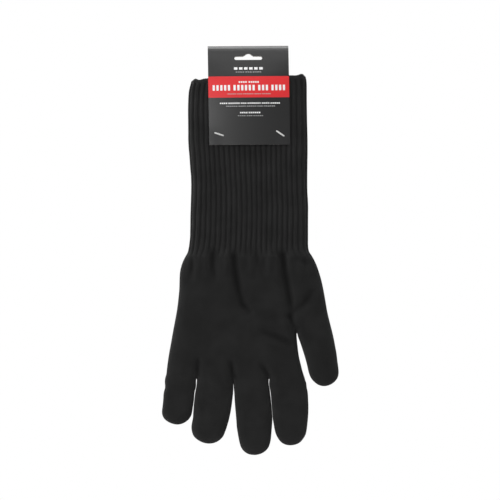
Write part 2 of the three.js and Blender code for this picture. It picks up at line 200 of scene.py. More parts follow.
# ------------------------------------------------------------------------------------------------
# the fabric's thickness field, its folds and dimples
# ------------------------------------------------------------------------------------------------
FRONT_FOLDS = [  # points, depth, half width
    ([(-32.9, -187.0), (-33.3, -199.5), (-31.2, -212.0)], 2.2, 3.3),
    ([(-13.4, -192.0), (-11.6, -208.0), (-9.6, -222.0), (-5.8, -236.4), (1.2, -243.3)], 2.6, 2.6),
    ([(32.4, -190.0), (34.2, -203.0), (37.0, -220.0), (39.6, -233.0), (40.4, -246.0)], 3.2, 2.7),
    ([(60.5, -225.0), (54.0, -233.6), (46.4, -241.6), (40.5, -249.0)], 1.4, 2.6),
    ([(14.5, -262.5), (26.5, -266.2), (39.5, -272.6)], 2.4, 3.6),
    ([(38.3, -247.0), (41.0, -253.0), (44.6, -260.0)], 2.6, 2.3),
    ([(-47.4, -289.0), (-47.8, -304.5)], 2.0, 2.1),
    ([(-16.2, -291.0), (-14.2, -306.0)], 2.2, 2.2),
    ([(13.6, -294.5), (19.3, -304.8)], 2.0, 2.2),
    ([(49.0, -194.5), (58.5, -199.0)], 1.1, 2.2),
    ([(0.0, -345.0), (10.0, -347.6)], 0.8, 2.4),
    ([(-40.0, -330.0), (-30.0, -328.5)], 0.4, 2.6),
    ([(-74.0, -322.0), (-62.0, -324.0)], 0.4, 2.2),
    ([(30.0, -333.0), (45.0, -331.0)], 0.4, 2.8),
    ([(-52.0, -197.0), (-56.5, -215.0)], 0.8, 2.6),
    ([(9.0, -191.0), (12.5, -206.0)], 0.9, 2.1),
    ([(20.0, -250.0), (31.0, -252.5)], 0.8, 3.0),
]
BACK_FOLDS = [
    ([(-40.0, -190.0), (-38.0, -205.0), (-34.0, -217.0)], 1.3, 2.3),
    ([(-4.0, -191.0), (-6.0, -209.0), (-10.0, -226.0)], 1.5, 2.3),
    ([(21.0, -191.0), (24.0, -206.0), (30.0, -224.0), (40.0, -238.0)], 1.6, 2.4),
    ([(64.0, -240.0), (52.0, -248.0), (43.0, -259.0)], 1.3, 2.6),
    ([(-47.4, -290.0), (-47.8, -305.0)], 0.9, 1.9),
    ([(-14.8, -291.0), (-14.0, -307.0)], 1.1, 2.0),
    ([(16.5, -294.5), (19.5, -305.8)], 1.0, 2.0),
    ([(-62.0, -262.0), (-40.0, -270.0), (-22.0, -268.0)], 0.8, 3.2),
    ([(-6.0, -331.0), (14.0, -332.5)], 0.5, 2.6),
    ([(28.0, -329.0), (50.0, -330.5)], 0.45, 2.6),
    ([(-46.0, -334.0), (-24.0, -336.0)], 0.5, 2.6),
]


def polyline_distance(x, z, pts):
    best = np.full(x.shape, 1e9)
    along = np.zeros(x.shape)
    for k, (a, b) in enumerate(zip(pts, pts[1:])):
        ax, az, bx, bz = *a, *b
        l2 = (bx - ax) ** 2 + (bz - az) ** 2
        t = np.clip(((x - ax) * (bx - ax) + (z - az) * (bz - az)) / l2, 0, 1)
        d = np.hypot(x - ax - t * (bx - ax), z - az - t * (bz - az))
        along = np.where(d < best, (k + t) / (len(pts) - 1), along)
        best = np.minimum(best, d)
    return best, along


def fold_field(folds, seed):
    out = np.zeros_like(gx)
    for pts, depth, w in folds:
        lo, hi = np.min(pts, 0) - 14, np.max(pts, 0) + 14
        i0, i1 = np.searchsorted(GX, [lo[0], hi[0]])
        j0, j1 = np.searchsorted(GZ, [lo[1], hi[1]])
        x, z = gx[i0:i1, j0:j1], gz[i0:i1, j0:j1]
        d, t = polyline_distance(x, z, pts)
        fade = 0.45 + 0.55 * np.sin(np.pi * np.clip(t * 0.86 + 0.10, 0, 1))
        if pts[0][1] > -195:      # gathered by the ribs: widest and deepest at their end
            fade = (1.0 - 0.25 * t) * (1 - 0.5 * smooth01((t - 0.82) / 0.18))
            w = w * (1.28 - 0.38 * t)
        out[i0:i1, j0:j1] += depth * fade * (-np.exp(-(d / w) ** 2 / 2) + 0.22 * np.exp(-((d - 2.7 * w) / (1.3 * w)) ** 2 / 2))
    # long soft swells, then small hand-made unevenness
    out += 0.55 * noise2(gx, gz * 0.7, 31.0, seed) + 0.28 * noise2(gx, gz, 13.0, seed + 1) + 0.10 * noise2(gx, gz, 6.0, seed + 2)
    # the gathers below the ribs run down the hand and die out
    g = np.exp(-((gz + 198) / 11.0) ** 2)
    out += 0.42 * g * np.sin(gx * 2 * math.pi / 9.4 + 3.0 * noise2(gx, gz * 0.5, 24.0, seed + 3))
    return out


def painted_fold_shade_at(p):
    """Weight of the painted shade in the folds: 0 on the open surface, 1 at the bottom of a deep fold."""
    f = np.where(p[:, 1] < 0, bilinear(FOLD_F, p[:, 0], p[:, 2]), bilinear(FOLD_B, p[:, 0], p[:, 2]))
    return np.clip((-f - 0.35) / 2.2, 0.0, 1.0)


def unspread_x(x, z):
    """Roughly where a spread-out point lies when the fingers are side by side."""
    g = spread_at(z)
    return x - g * np.where(x < -51, -5.0, np.where(x < -15, -2.0, np.where(x < 21.5, 0.0, 3.0)))


_keep = gx
gx = unspread_x(gx, gz)
FOLD_F, FOLD_B = fold_field(FRONT_FOLDS, 11), fold_field(BACK_FOLDS, 41)
gx = _keep
TZ = [(-392, 6.2), (-372, 6.3), (-345, 6.6), (-315, 6.8), (-300, 7.3), (-280, 7.7), (-240, 7.9), (-205, 7.7), (-190, 7.35), (-150, 7.3)]
EDGE_R = 8.6


def half_thickness(x, z, front, d):
    t = np.interp(z, [a for a, _ in TZ], [b for _, b in TZ])
    crown = 0.90 + 0.10 * smooth01((d - 3.0) / 14.0)
    f = np.where(front, bilinear(FOLD_F, x, z), bilinear(FOLD_B, x, z))
    return t * crown + f * smooth01((d - 0.5) / 6.0)


def field(p, inset=0.0, plain=False, sunk=True):
    """Below 0 inside the hand's surface. inset moves the surface inwards."""
    x, y, z = p[..., 0], p[..., 1], p[..., 2]
    d = bilinear(SDF, x, z)
    top = ramp(z, -193.5, -184.5) if sunk else 0.0
    d = d - inset - 0.75 * top
    if plain:
        t = np.interp(z, [a for a, _ in TZ], [b for _, b in TZ]) * 0.76
    else:
        t = half_thickness(x, z, y < 0, d + inset)
    t = t - inset - 0.75 * top
    r = EDGE_R - inset
    e = np.maximum(0.0, 1.0 - d / r)
    return np.sqrt(e ** 2.1 + np.abs(y / np.maximum(t, 0.5)) ** 2.1) - 1.0


def surface_nets(lo, hi, step, fn):
    ax = [np.arange(lo[k], hi[k] + step[k], step[k]) for k in range(3)]
    P = np.stack(np.meshgrid(*ax, indexing="ij"), -1)
    F = fn(P)
    S = F < 0
    n = [len(a) for a in ax]
    c = np.zeros([m - 1 for m in n], int)
    corner = [(i, j, k) for i in (0, 1) for j in (0, 1) for k in (0, 1)]
    sl = lambda o: tuple(slice(o[a], n[a] - 1 + o[a]) for a in range(3))
    for o in corner:
        c += S[sl(o)]
    act = (c > 0) & (c < 8)
    idx = -np.ones(act.shape, int)
    idx[act] = np.arange(act.sum())
    cells = np.argwhere(act)
    pos, cnt = np.zeros((len(cells), 3)), np.zeros(len(cells))
    vals = {o: F[tuple((cells + o).T)] for o in corner}
    for a in range(3):
        for o in corner:
            if o[a]:
                continue
            q = tuple(o[k] + (k == a) for k in range(3))
            f0, f1 = vals[o], vals[q]
            m = (f0 < 0) != (f1 < 0)
            t = np.where(m, f0 / np.where(m, f0 - f1, 1), 0)
            pt = np.tile(np.array(o, float), (len(cells), 1))
            pt[:, a] += t
            pos += pt * m[:, None]
            cnt += m
    pos = cells + pos / cnt[:, None]
    verts = np.array(lo) + pos * np.array(step)
    quads = []
    for a in range(3):
        b, d = (a + 1) % 3, (a + 2) % 3
        s0 = [slice(None)] * 3
        s1 = [slice(None)] * 3
        s0[a], s1[a] = slice(0, n[a] - 1), slice(1, n[a])
        cross = S[tuple(s0)] != S[tuple(s1)]
        e = np.argwhere(cross)
        e = e[(e[:, b] > 0) & (e[:, d] > 0) & (e[:, b] < n[b] - 1) & (e[:, d] < n[d] - 1)]
        inside_first = S[tuple(e.T)]

        def cell(db, dd):
            q = e.copy()
            q[:, b] += db
            q[:, d] += dd
            return idx[tuple(q.T)]

        q = np.stack([cell(-1, -1), cell(0, -1), cell(0, 0), cell(-1, 0)], 1)
        q[~inside_first] = q[~inside_first][:, ::-1]
        quads.append(q)
    return verts, np.concatenate(quads)


def settle(verts, quads, fn, rounds=3):
    """Evens the net out and puts it back on the surface."""
    e = np.concatenate([quads[:, [0, 1]], quads[:, [1, 2]], quads[:, [2, 3]], quads[:, [3, 0]]])
    e = np.concatenate([e, e[:, ::-1]])
    deg = np.bincount(e[:, 0], minlength=len(verts)).astype(float)
    h = 0.05

    def grad(p):
        g = np.zeros_like(p)
        for k in range(3):
            o = np.zeros(3)
            o[k] = h
            g[:, k] = (fn(p + o) - fn(p - o)) / (2 * h)
        return g

    for r in range(rounds):
        s = np.zeros_like(verts)
        for k in range(3):
            s[:, k] = np.bincount(e[:, 0], weights=verts[e[:, 1], k], minlength=len(verts))
        verts = verts * 0.45 + 0.55 * s / np.maximum(deg, 1)[:, None]
        for _ in range(2):
            f, g = fn(verts), grad(verts)
            step = f[:, None] * g / np.maximum((g * g).sum(1, keepdims=True), 1e-6)
            l = np.linalg.norm(step, axis=1, keepdims=True)
            verts = verts - step * np.minimum(1.0, 0.8 / np.maximum(l, 1e-9))
    return verts


# ------------------------------------------------------------------------------------------------
# fingers: frames, folds, and where one piece ends and the next begins
# ------------------------------------------------------------------------------------------------
FINGERS = {
    "index": dict(o=(37.4, -312.5), splay=3.4, zones=[(-5.5, 8.6), (11.0, 28.0), (30.0, 46.0)], splits=[-6.3, 9.8, 29.0]),
    "middle": dict(o=(3.0, -312.5), splay=3.4, zones=[(-4.5, 9.6), (12.4, 31.6), (34.4, 53.6)], splits=[-5.4, 11.0, 33.0]),
    "ring": dict(o=(-31.4, -312.5), splay=-7.4, zones=[(-3.4, 8.6), (11.0, 28.0), (30.0, 46.0)], splits=[-4.3, 9.8, 29.0]),
    "little": dict(o=(-64.4, -312.5), splay=-6.4, zones=[(-7.0, 5.5), (7.3, 18.7), (20.4, 31.0)], splits=[-7.8, 6.4, 19.55]),
    "thumb": dict(o=(65.1, -272.3), splay=12.4, zones=[(-8.5, 8.4), (10.6, 27.6)], splits=[-9.4, 9.5]),
}
for f in FINGERS.values():
    r = math.radians(f["splay"])
    f["d"] = np.array([math.sin(r), -math.cos(r)])
    f["u"] = np.array([math.cos(r), math.sin(r)])


def local(f, x, z):
    """Across and along a finger."""
    dx, dz = x - f["o"][0], z - f["o"][1]
    return dx * f["u"][0] + dz * f["u"][1], dx * f["d"][0] + dz * f["d"][1]


G_LR = ([-400, -344.2, -306.4, -150], [-56.0, -52.5, -48.4, -48.4])
G_RM = ([-400, -365.0, -346.1, -308.0, -150], [-18.0, -16.0, -14.6, -13.9, -13.9])
G_MI = ([-400, -365.0, -344.2, -307.0, -150], [29.0, 26.0, 23.0, 19.9, 19.9])
G_TI = ([-400, -313.0, -301.0, -282.0, -262.0, -150], [60.0, 57.5, 54.5, 49.8, 45.8, 45.8])


def finger_of(x, z, spread):
    """0 little, 1 ring, 2 middle, 3 index, 4 thumb."""
    g = spread_at(z) if spread else 0.0
    lr = np.interp(z, *G_LR) - 3.5 * g
    rm = np.interp(z, *G_RM) - 1.0 * g
    mi = np.interp(z, *G_MI) + 1.5 * g
    ti = np.interp(z, *G_TI) + 3.0 * g
    out = np.where(x < lr, 0, np.where(x < rm, 1, np.where(x < mi, 2, 3)))
    return np.where((x > ti) & (z < -240), 4, out)


ORDER = ["little", "ring", "middle", "index", "thumb"]
SPREADS = np.array([SPREAD[n] for n in ORDER])


def knit_coords(x, z, fid):
    """Where a point lies in the knitting: across and along the wales, in millimetres. Each finger's wales follow the finger."""
    U, V = x.copy(), -z.copy()
    for k, n in enumerate(ORDER):
        f = FINGERS[n]
        u, s = local(f, x, z)
        if n == "thumb":
            w = smooth01((s + 36) / 26.0) * smooth01((u + 30.0) / 14.0) * np.where(fid == 4, 1.0, smooth01((z + 278) / 16.0))
            m = np.ones(x.shape, bool)
        else:
            w = smooth01((-z - 292.0) / 24.0)
            m = fid == k
        w = np.where(m, w, 0.0)
        U = U + w * (u + f["o"][0] - U)
        V = V + w * (s - f["o"][1] - V)
    return U, V


def round_the_side(p):
    """How much longer the way over the rounded side is than its shadow, and which way it runs: x, z."""
    h = 0.8
    x, z = p[:, 0], p[:, 2]
    d = bilinear(SDF, x, z)
    gxx = bilinear(SDF, x + h, z) - bilinear(SDF, x - h, z)
    gzz = bilinear(SDF, x, z + h) - bilinear(SDF, x, z - h)
    l = np.maximum(np.hypot(gxx, gzz), 1e-6)
    t = np.interp(z, [a for a, _ in TZ], [b for _, b in TZ])
    e = np.clip(1 - d / EDGE_R, 0, 1)
    th = np.arctan2(np.abs(p[:, 1]) / t, np.maximum(e, 1e-6))
    extra = np.maximum((math.pi / 2 - th) * (EDGE_R + t) / 2 - EDGE_R * e, 0.0) * smooth01(l / (2 * h) / 0.7)
    return -gxx / l * extra, -gzz / l * extra


def build_hand(step, inset, plain, top):
    fn = lambda p: field(p, inset, plain)
    verts, quads = surface_nets((-90, -10.4, -383), (92.5, 10.4, -176), (step, step, step), fn)
    verts = settle(verts, quads, fn)
    fid = finger_of(verts[:, 0], verts[:, 2], True)
    ex, ez = round_the_side(verts)
    # painted shade for the bottoms of the folds, later darkening the knit's colour
    painted_fold_shade = painted_fold_shade_at(verts)
    verts[:, 0] -= SPREADS[fid] * spread_at(verts[:, 2])
    normals = vertex_normals(verts, quads)
    U, V = knit_coords(verts[:, 0] + ex, verts[:, 2] + ez, fid)
    knit = {"knit": np.stack([U, V, np.where(verts[:, 1] < 0, 0.0, 1.0)], 1), "painted_fold_shade": np.stack([painted_fold_shade] * 3, 1)}
    mid = verts[quads].mean(1)
    keep = mid[:, 2] < top
    qfid = fid[quads[:, 0]]
    piece = np.zeros(len(quads), int)  # 0 is the hand, then 10 * finger + segment
    for k, n in enumerate(ORDER):
        f = FINGERS[n]
        _, s = local(f, mid[:, 0], mid[:, 2])
        m = (qfid == k) & (mid[:, 2] < (-250 if n == "thumb" else -296))
        for j, split in enumerate(f["splits"]):
            piece = np.where(m & (s > split), 10 * (k + 1) + j + 1, piece)
    return verts, quads, normals, knit, piece, keep


# ------------------------------------------------------------------------------------------------
# materials
# ------------------------------------------------------------------------------------------------
class Nodes:
    def __init__(self, name):
        self.mat = bpy.data.materials.new(name)
        self.mat.use_nodes = True
        self.t = self.mat.node_tree
        self.bsdf = self.t.nodes["Principled BSDF"]

    def node(self, kind, **props):
        n = self.t.nodes.new(kind)
        for k, v in props.items():
            setattr(n, k, v)
        return n

    def put(self, socket, v):
        if isinstance(v, bpy.types.NodeSocket):
            self.t.links.new(v, socket)
        else:
            socket.default_value = v

    def math(self, op, a, b=None, c=None, clamp=False):
        n = self.node("ShaderNodeMath", operation=op, use_clamp=clamp)
        for i, v in enumerate((a, b, c)):
            if v is not None:
                self.put(n.inputs[i], v)
        return n.outputs[0]

    def mix(self, fac, a, b):
        n = self.node("ShaderNodeMix", data_type="RGBA")
        self.put(n.inputs[0], fac)
        self.put(n.inputs[6], a)
        self.put(n.inputs[7], b)
        return n.outputs[2]

    def noise(self, vec, scale, detail=2.0, rough=0.5):
        n = self.node("ShaderNodeTexNoise")
        n.inputs["Scale"].default_value = scale
        n.inputs["Detail"].default_value = detail
        n.inputs["Roughness"].default_value = rough
        if vec is not None:
            self.t.links.new(vec, n.inputs["Vector"])
        return n.outputs["Fac"]

    def attr(self, name):
        n = self.node("ShaderNodeAttribute", attribute_name=name)
        return n.outputs["Vector"]

    def split(self, v):
        n = self.node("ShaderNodeSeparateXYZ")
        self.t.links.new(v, n.inputs[0])
        return n.outputs

    def bump(self, height, strength, distance, under=None):
        n = self.node("ShaderNodeBump")
        n.inputs["Strength"].default_value = strength
        n.inputs["Distance"].default_value = distance
        self.t.links.new(height, n.inputs["Height"])
        if under is not None:
            self.t.links.new(under, n.inputs["Normal"])
        return n.outputs[0]


def rgb(v, tint=(1, 1, 1)):
    return (v * tint[0], v * tint[1], v * tint[2], 1.0)


def knit_material(name, wale, course, dark, light, bump=0.00042, sheen=0.25, painted_rib_shade=False, painted_fold_shade=False):
    """Plain knitting: columns of V stitches. u runs across the wales and v along them, both in millimetres."""
    n = Nodes(name)
    u, v, side = n.split(n.attr("knit"))
    U = n.math("DIVIDE", u, wale)
    V = n.math("DIVIDE", v, course)
    a = n.math("ABSOLUTE", n.math("SUBTRACT", n.math("FRACT", U), 0.5))       # 0 in the middle of a column, 0.5 between columns
    leg = n.math("SUBTRACT", 1.0, n.math("ABSOLUTE", n.math("SUBTRACT", n.math("MULTIPLY", a, 4.0), 1.0)))
    leg = n.math("POWER", n.math("MAXIMUM", leg, 0.0), 0.6)
    wob = n.math("MULTIPLY", n.noise(n.attr("knit"), 0.55, 1.0), 0.5)
    p = n.math("FRACT", n.math("ADD", n.math("ADD", V, wob), n.math("MULTIPLY", a, 1.9)))
    yarn = n.math("SUBTRACT", 1.0, n.math("POWER", n.math("ABSOLUTE", n.math("SUBTRACT", n.math("MULTIPLY", p, 2.0), 1.0)), 2.0))
    height = n.math("MULTIPLY", leg, n.math("ADD", 0.35, n.math("MULTIPLY", yarn, 0.65)))
    fibre = n.noise(n.attr("knit"), 4.5, 3.0, 0.7)
    patch = n.noise(n.attr("knit"), 0.05, 2.0, 0.5)
    tall = n.math("ADD", height, n.math("MULTIPLY", fibre, 0.35))
    # painted shade between the stitches: the colour is darker where the yarn lies low, with random fibre and patch
    # tone mixed in
    shade = n.math("ADD", n.math("MULTIPLY", height, 0.75), n.math("MULTIPLY", fibre, 0.45), clamp=True)
    shade = n.math("ADD", shade, n.math("MULTIPLY", n.math("SUBTRACT", patch, 0.5), 0.65), clamp=True)
    # painted shade in the rib valleys: the colour darkens where the ribs dip
    if painted_rib_shade:
        crest = n.split(n.attr("painted_rib_shade"))[0]     # 0 in a valley, 1 on a crest
        shade = n.math("MULTIPLY", shade, n.math("ADD", 0.45, n.math("MULTIPLY", crest, 0.55)))
    # painted shade: the knit's colour darkens towards the bottoms of the folds
    if painted_fold_shade:
        shade = n.math("MULTIPLY", shade, n.math("SUBTRACT", 1.0, n.math("MULTIPLY", n.split(n.attr("painted_fold_shade"))[0], 0.75)))
    n.put(n.bsdf.inputs["Base Color"], n.mix(shade, dark, light))
    n.put(n.bsdf.inputs["Normal"], n.bump(tall, 1.0, bump))
    n.bsdf.inputs["Roughness"].default_value = 0.93
    n.bsdf.inputs["Specular IOR Level"].default_value = 0.08
    n.bsdf.inputs["Sheen Weight"].default_value = sheen
    n.bsdf.inputs["Sheen Roughness"].default_value = 0.55
    n.bsdf.inputs["Sheen Tint"].default_value = (0.5, 0.5, 0.5, 1)
    return n.mat


M_HAND = knit_material("hand_knit_fabric", 2.0, 1.55, rgb(0.0036), rgb(0.0212), sheen=0.10, painted_fold_shade=True)
M_CUFF = knit_material("cuff_rib_fabric", 2.0, 1.6, rgb(0.0036), rgb(0.0262), sheen=0.10, painted_rib_shade=True, painted_fold_shade=True)
M_LINER = knit_material("lining_fabric", 1.3, 1.0, rgb(0.012, (1, .98, .96)), rgb(0.045, (1, .98, .96)), bump=0.00025, sheen=0.2)


def thread_material():
    n = Nodes("overlock_thread")
    u, v, w = n.split(n.attr("knit"))
    strand = n.math("ABSOLUTE", n.math("SINE", n.math("ADD", n.math("MULTIPLY", u, math.pi / 0.42), n.math("MULTIPLY", v, 1.7))))
    fuzz = n.noise(n.attr("knit"), 3.0, 3.0, 0.7)
    h = n.math("ADD", n.math("MULTIPLY", strand, 0.6), n.math("MULTIPLY", fuzz, 0.5))
    # painted shade between the strands: the colour darkens where the thread lies low, and the fuzz noise varies the
    # tone
    n.put(n.bsdf.inputs["Base Color"], n.mix(n.math("MULTIPLY", h, 0.8, clamp=True), rgb(0.0021), rgb(0.0108)))
    n.put(n.bsdf.inputs["Normal"], n.bump(h, 0.9, 0.0002))
    n.bsdf.inputs["Roughness"].default_value = 0.9
    n.bsdf.inputs["Specular IOR Level"].default_value = 0.25
    n.bsdf.inputs["Sheen Weight"].default_value = 0.2
    return n.mat


M_HEM = thread_material()


def board_material(name, colour, spread, rough, coat=0.0, fold_band_and_cracks=False, spec=0.25):
    """Printed board: flat ink over paper, with a faint tooth, paler in a smooth band along the fold, and paler still
    where the print has cracked over the fold.
    """
    n = Nodes(name)
    flat = n.attr("flat")
    grain = n.noise(flat, 0.9, 4.0, 0.6)
    mott = n.noise(flat, 0.07, 2.0, 0.5)
    k = n.math("ADD", n.math("MULTIPLY", grain, 0.45), n.math("MULTIPLY", mott, 0.55))
    lo = tuple(c * (1 - spread) for c in colour) + (1,)
    hi = tuple(min(1, c * (1 + spread)) for c in colour) + (1,)
    col = n.mix(k, lo, hi)
    if fold_band_and_cracks:
        x, s, fold = n.split(flat)
        near = n.math("SUBTRACT", 1.0, n.math("DIVIDE", n.math("ABSOLUTE", fold), 5.6), clamp=True)
        crack = n.math("MULTIPLY", n.math("GREATER_THAN", n.noise(flat, 1.4, 4.0, 0.75), 0.60), near)
        # a band that pales smoothly towards the fold line; the cracked print is speckled over it
        fold_band = n.math("MULTIPLY", near, 0.18)
        col = n.mix(n.math("ADD", fold_band, n.math("MULTIPLY", crack, 0.25), clamp=True), col, (0.45, 0.45, 0.45, 1))
    n.put(n.bsdf.inputs["Base Color"], col)
    n.put(n.bsdf.inputs["Normal"], n.bump(grain, 0.25, 0.00006))
    rr = n.math("ADD", rough - 0.05, n.math("MULTIPLY", grain, 0.10))
    n.put(n.bsdf.inputs["Roughness"], rr)
    n.bsdf.inputs["Coat Weight"].default_value = coat
    n.bsdf.inputs["Coat Roughness"].default_value = 0.27
    n.bsdf.inputs["Specular IOR Level"].default_value = spec
    return n.mat


M_CARD = board_material("board_charcoal_print", (0.0130, 0.0130, 0.0132), 0.10, 0.45, 0.7, fold_band_and_cracks=True, spec=0.10)
M_RED = board_material("board_red_print", (0.65, 0.027, 0.031), 0.06, 0.45, 0.26, spec=0.12)
M_WHITE = board_material("board_white_print", (0.80, 0.80, 0.80), 0.04, 0.5)
M_GREY = board_material("board_grey_print", (0.40, 0.40, 0.40), 0.05, 0.5)
M_PAPER = board_material("board_raw_paper", (0.56, 0.54, 0.50), 0.10, 0.8)


def plastic_material():
    n = Nodes("pin_white_nylon")
    g = n.node("ShaderNodeNewGeometry").outputs["Position"]
    k = n.noise(g, 900.0, 2.0)
    n.put(n.bsdf.inputs["Base Color"], n.mix(k, (0.50, 0.50, 0.49, 1), (0.64, 0.64, 0.63, 1)))
    n.put(n.bsdf.inputs["Normal"], n.bump(k, 0.15, 0.00005))
    n.put(n.bsdf.inputs["Roughness"], n.math("ADD", 0.28, n.math("MULTIPLY", k, 0.15)))
    n.bsdf.inputs["Subsurface Weight"].default_value = 0.15
    n.bsdf.inputs["Subsurface Radius"].default_value = (0.001, 0.001, 0.001)
    n.bsdf.inputs["Subsurface Scale"].default_value = 1.0
    return n.mat


M_PIN = plastic_material()

# ------------------------------------------------------------------------------------------------
# hand and fingers
# ------------------------------------------------------------------------------------------------
LABELS = {n: (["base", "tip"] if n == "thumb" else ["base", "mid", "tip"]) for n in ORDER}


def place_hand(built, tag, material):
    verts, quads, normals, knit, piece, keep = built
    for pid in np.unique(piece):
        m = (piece == pid) & keep
        q = quads[m]
        used, inv = np.unique(q, return_inverse=True)
        q = inv.reshape(-1, 4)
        if pid == 0:
            ob = add_mesh(f"glove_hand_{tag}", verts[used], q, [material], normals[used], {k: v[used] for k, v in knit.items()})
            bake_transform(ob)
            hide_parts(f"hand_{tag}")
        else:
            n = ORDER[pid // 10 - 1]
            j = pid % 10 - 1
            ob = add_mesh(f"glove_{n}_{LABELS[n][j]}_{tag}", verts[used], q, [material], normals[used], {k: v[used] for k, v in knit.items()})
            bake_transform(ob)
            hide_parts(f"{n}_{LABELS[n][j]}_{tag}")


place_hand(build_hand(0.85, 0.0, False, -182.5), "knit", M_HAND)
place_hand(build_hand(1.9, 2.1, True, -182.0), "liner", M_LINER)

# ------------------------------------------------------------------------------------------------
# cuff: ribbed tube, its lining, and the overlocked edge
# ------------------------------------------------------------------------------------------------
CUFF_ROWS = [(-17.2, -51.42, 53.24), (-21.0, -52.72, 53.99), (-24.8, -54.02, 54.59), (-28.5, -55.12, 54.99), (-32.3, -55.82, 55.09), (-36.1, -56.12, 55.09), (-43.7, -56.42, 55.09), (-51.2, -56.52, 55.19), (-62.6, -56.39, 55.38), (-73.9, -56.31, 55.66), (-81.5, -56.32, 55.86), (-89.0, -55.91, 55.86), (-94.7, -55.35, 55.86), (-100.4, -54.92, 55.76), (-107.9, -54.4, 55.66), (-115.5, -53.68, 55.56), (-123.0, -53.46, 55.56), (-130.6, -53.54, 55.65), (-138.2, -53.78, 56.14), (-145.7, -54.01, 56.43), (-153.3, -54.24, 56.31), (-164.6, -54.37, 56.29), (-172.2, -54.53, 56.28), (-176.0, -54.8, 56.27), (-179.7, -55.28, 56.26), (-183.5, -55.77, 56.58), (-187.3, -56.8, 57.69), (-191.1, -59.08, 60.4), (-194.9, -60.98, 62.63), (-200.5, -63.17, 64.94)]
CUFF_T = [(-200, 7.45), (-185, 7.3), (-120, 7.2), (-92, 7.1), (-76, 6.85), (-50, 6.55), (-30, 6.0), (-17, 5.6)]
N_RIB = 49
cr = np.array(CUFF_ROWS)[::-1]
SLOPE = 0.042
MOUTH_Z = -22.2
HEM_H = 4.0


def cuff_section(z, count, inset, closer=1.0):
    """count points evenly round the cuff at height z, from the middle of the back: x, y, outward normal."""
    l, r = np.interp(z, cr[:, 0], cr[:, 1]) + inset, np.interp(z, cr[:, 0], cr[:, 2]) - inset
    t = np.interp(z, [a for a, _ in CUFF_T], [b for _, b in CUFF_T]) - inset
    cx, hw = (l + r) / 2, (r - l) / 2
    rr = EDGE_R - inset
    # a stadium: straight runs of hw - rr, ends of a rounded curve
    q = np.linspace(0, 1, 1441)
    straight = 2 * (hw - rr)
    endlen = math.pi * math.sqrt((rr * rr + t * t) / 2)
    total = 2 * straight + 2 * endlen
    s = q * total
    x, y = np.empty_like(s), np.empty_like(s)
    m = s < straight / 2
    x[m], y[m] = s[m], t
    b0 = straight / 2
    m = (s >= b0) & (s < b0 + endlen)
    th = (s[m] - b0) / endlen * math.pi
    c, sn = np.cos(th), np.sin(th)
    k = (np.abs(c) ** 2.1 + np.abs(sn) ** 2.1) ** (-1 / 2.1)
    x[m], y[m] = hw - rr + rr * sn * k, t * c * k
    b1 = b0 + endlen
    m = (s >= b1) & (s < b1 + straight)
    x[m], y[m] = hw - rr - (s[m] - b1), -t
    b2 = b1 + straight
    m = (s >= b2) & (s < b2 + endlen)
    th = (s[m] - b2) / endlen * math.pi
    c, sn = np.cos(th), np.sin(th)
    k = (np.abs(c) ** 2.1 + np.abs(sn) ** 2.1) ** (-1 / 2.1)
    x[m], y[m] = -(hw - rr) - rr * sn * k, -t * c * k
    m = s >= b2 + endlen
    x[m], y[m] = -(hw - rr) + (s[m] - b2 - endlen), t
    arc = np.concatenate([[0], np.cumsum(np.hypot(np.diff(x), np.diff(y)))])
    want = np.linspace(0, arc[-1], count, endpoint=False)
    px, py = np.interp(want, arc, x), np.interp(want, arc, y)
    tx, ty = np.roll(px, -1) - np.roll(px, 1), np.roll(py, -1) - np.roll(py, 1)
    L = np.hypot(tx, ty)
    return px + cx, py, -ty / L, tx / L, arc[-1]


def mouth(x, y):
    """How high the cuff's edge runs: it leans, waves a little, and curls at the corner away from the thumb."""
    z = MOUTH_Z + SLOPE * x
    z = z + 0.45 * noise2(x + 200, y * 3.0, 17.0, 71) + 0.22 * noise2(x, y * 3 + 90.0, 6.0, 72)
    z = z - 1.1 * np.exp(-((x + 46.0) / 3.0) ** 2) + 0.7 * np.exp(-((x + 52.0) / 3.2) ** 2)
    z = z + 0.7 * np.exp(-((x - 50.6) / 2.6) ** 2) - 0.25 * np.exp(-((x - 45.0) / 3.0) ** 2)
    z = z - 1.7 * smooth01((-50.0 - x) / 3.2) - 1.5 * smooth01((x - 51.8) / 2.6)
    return z


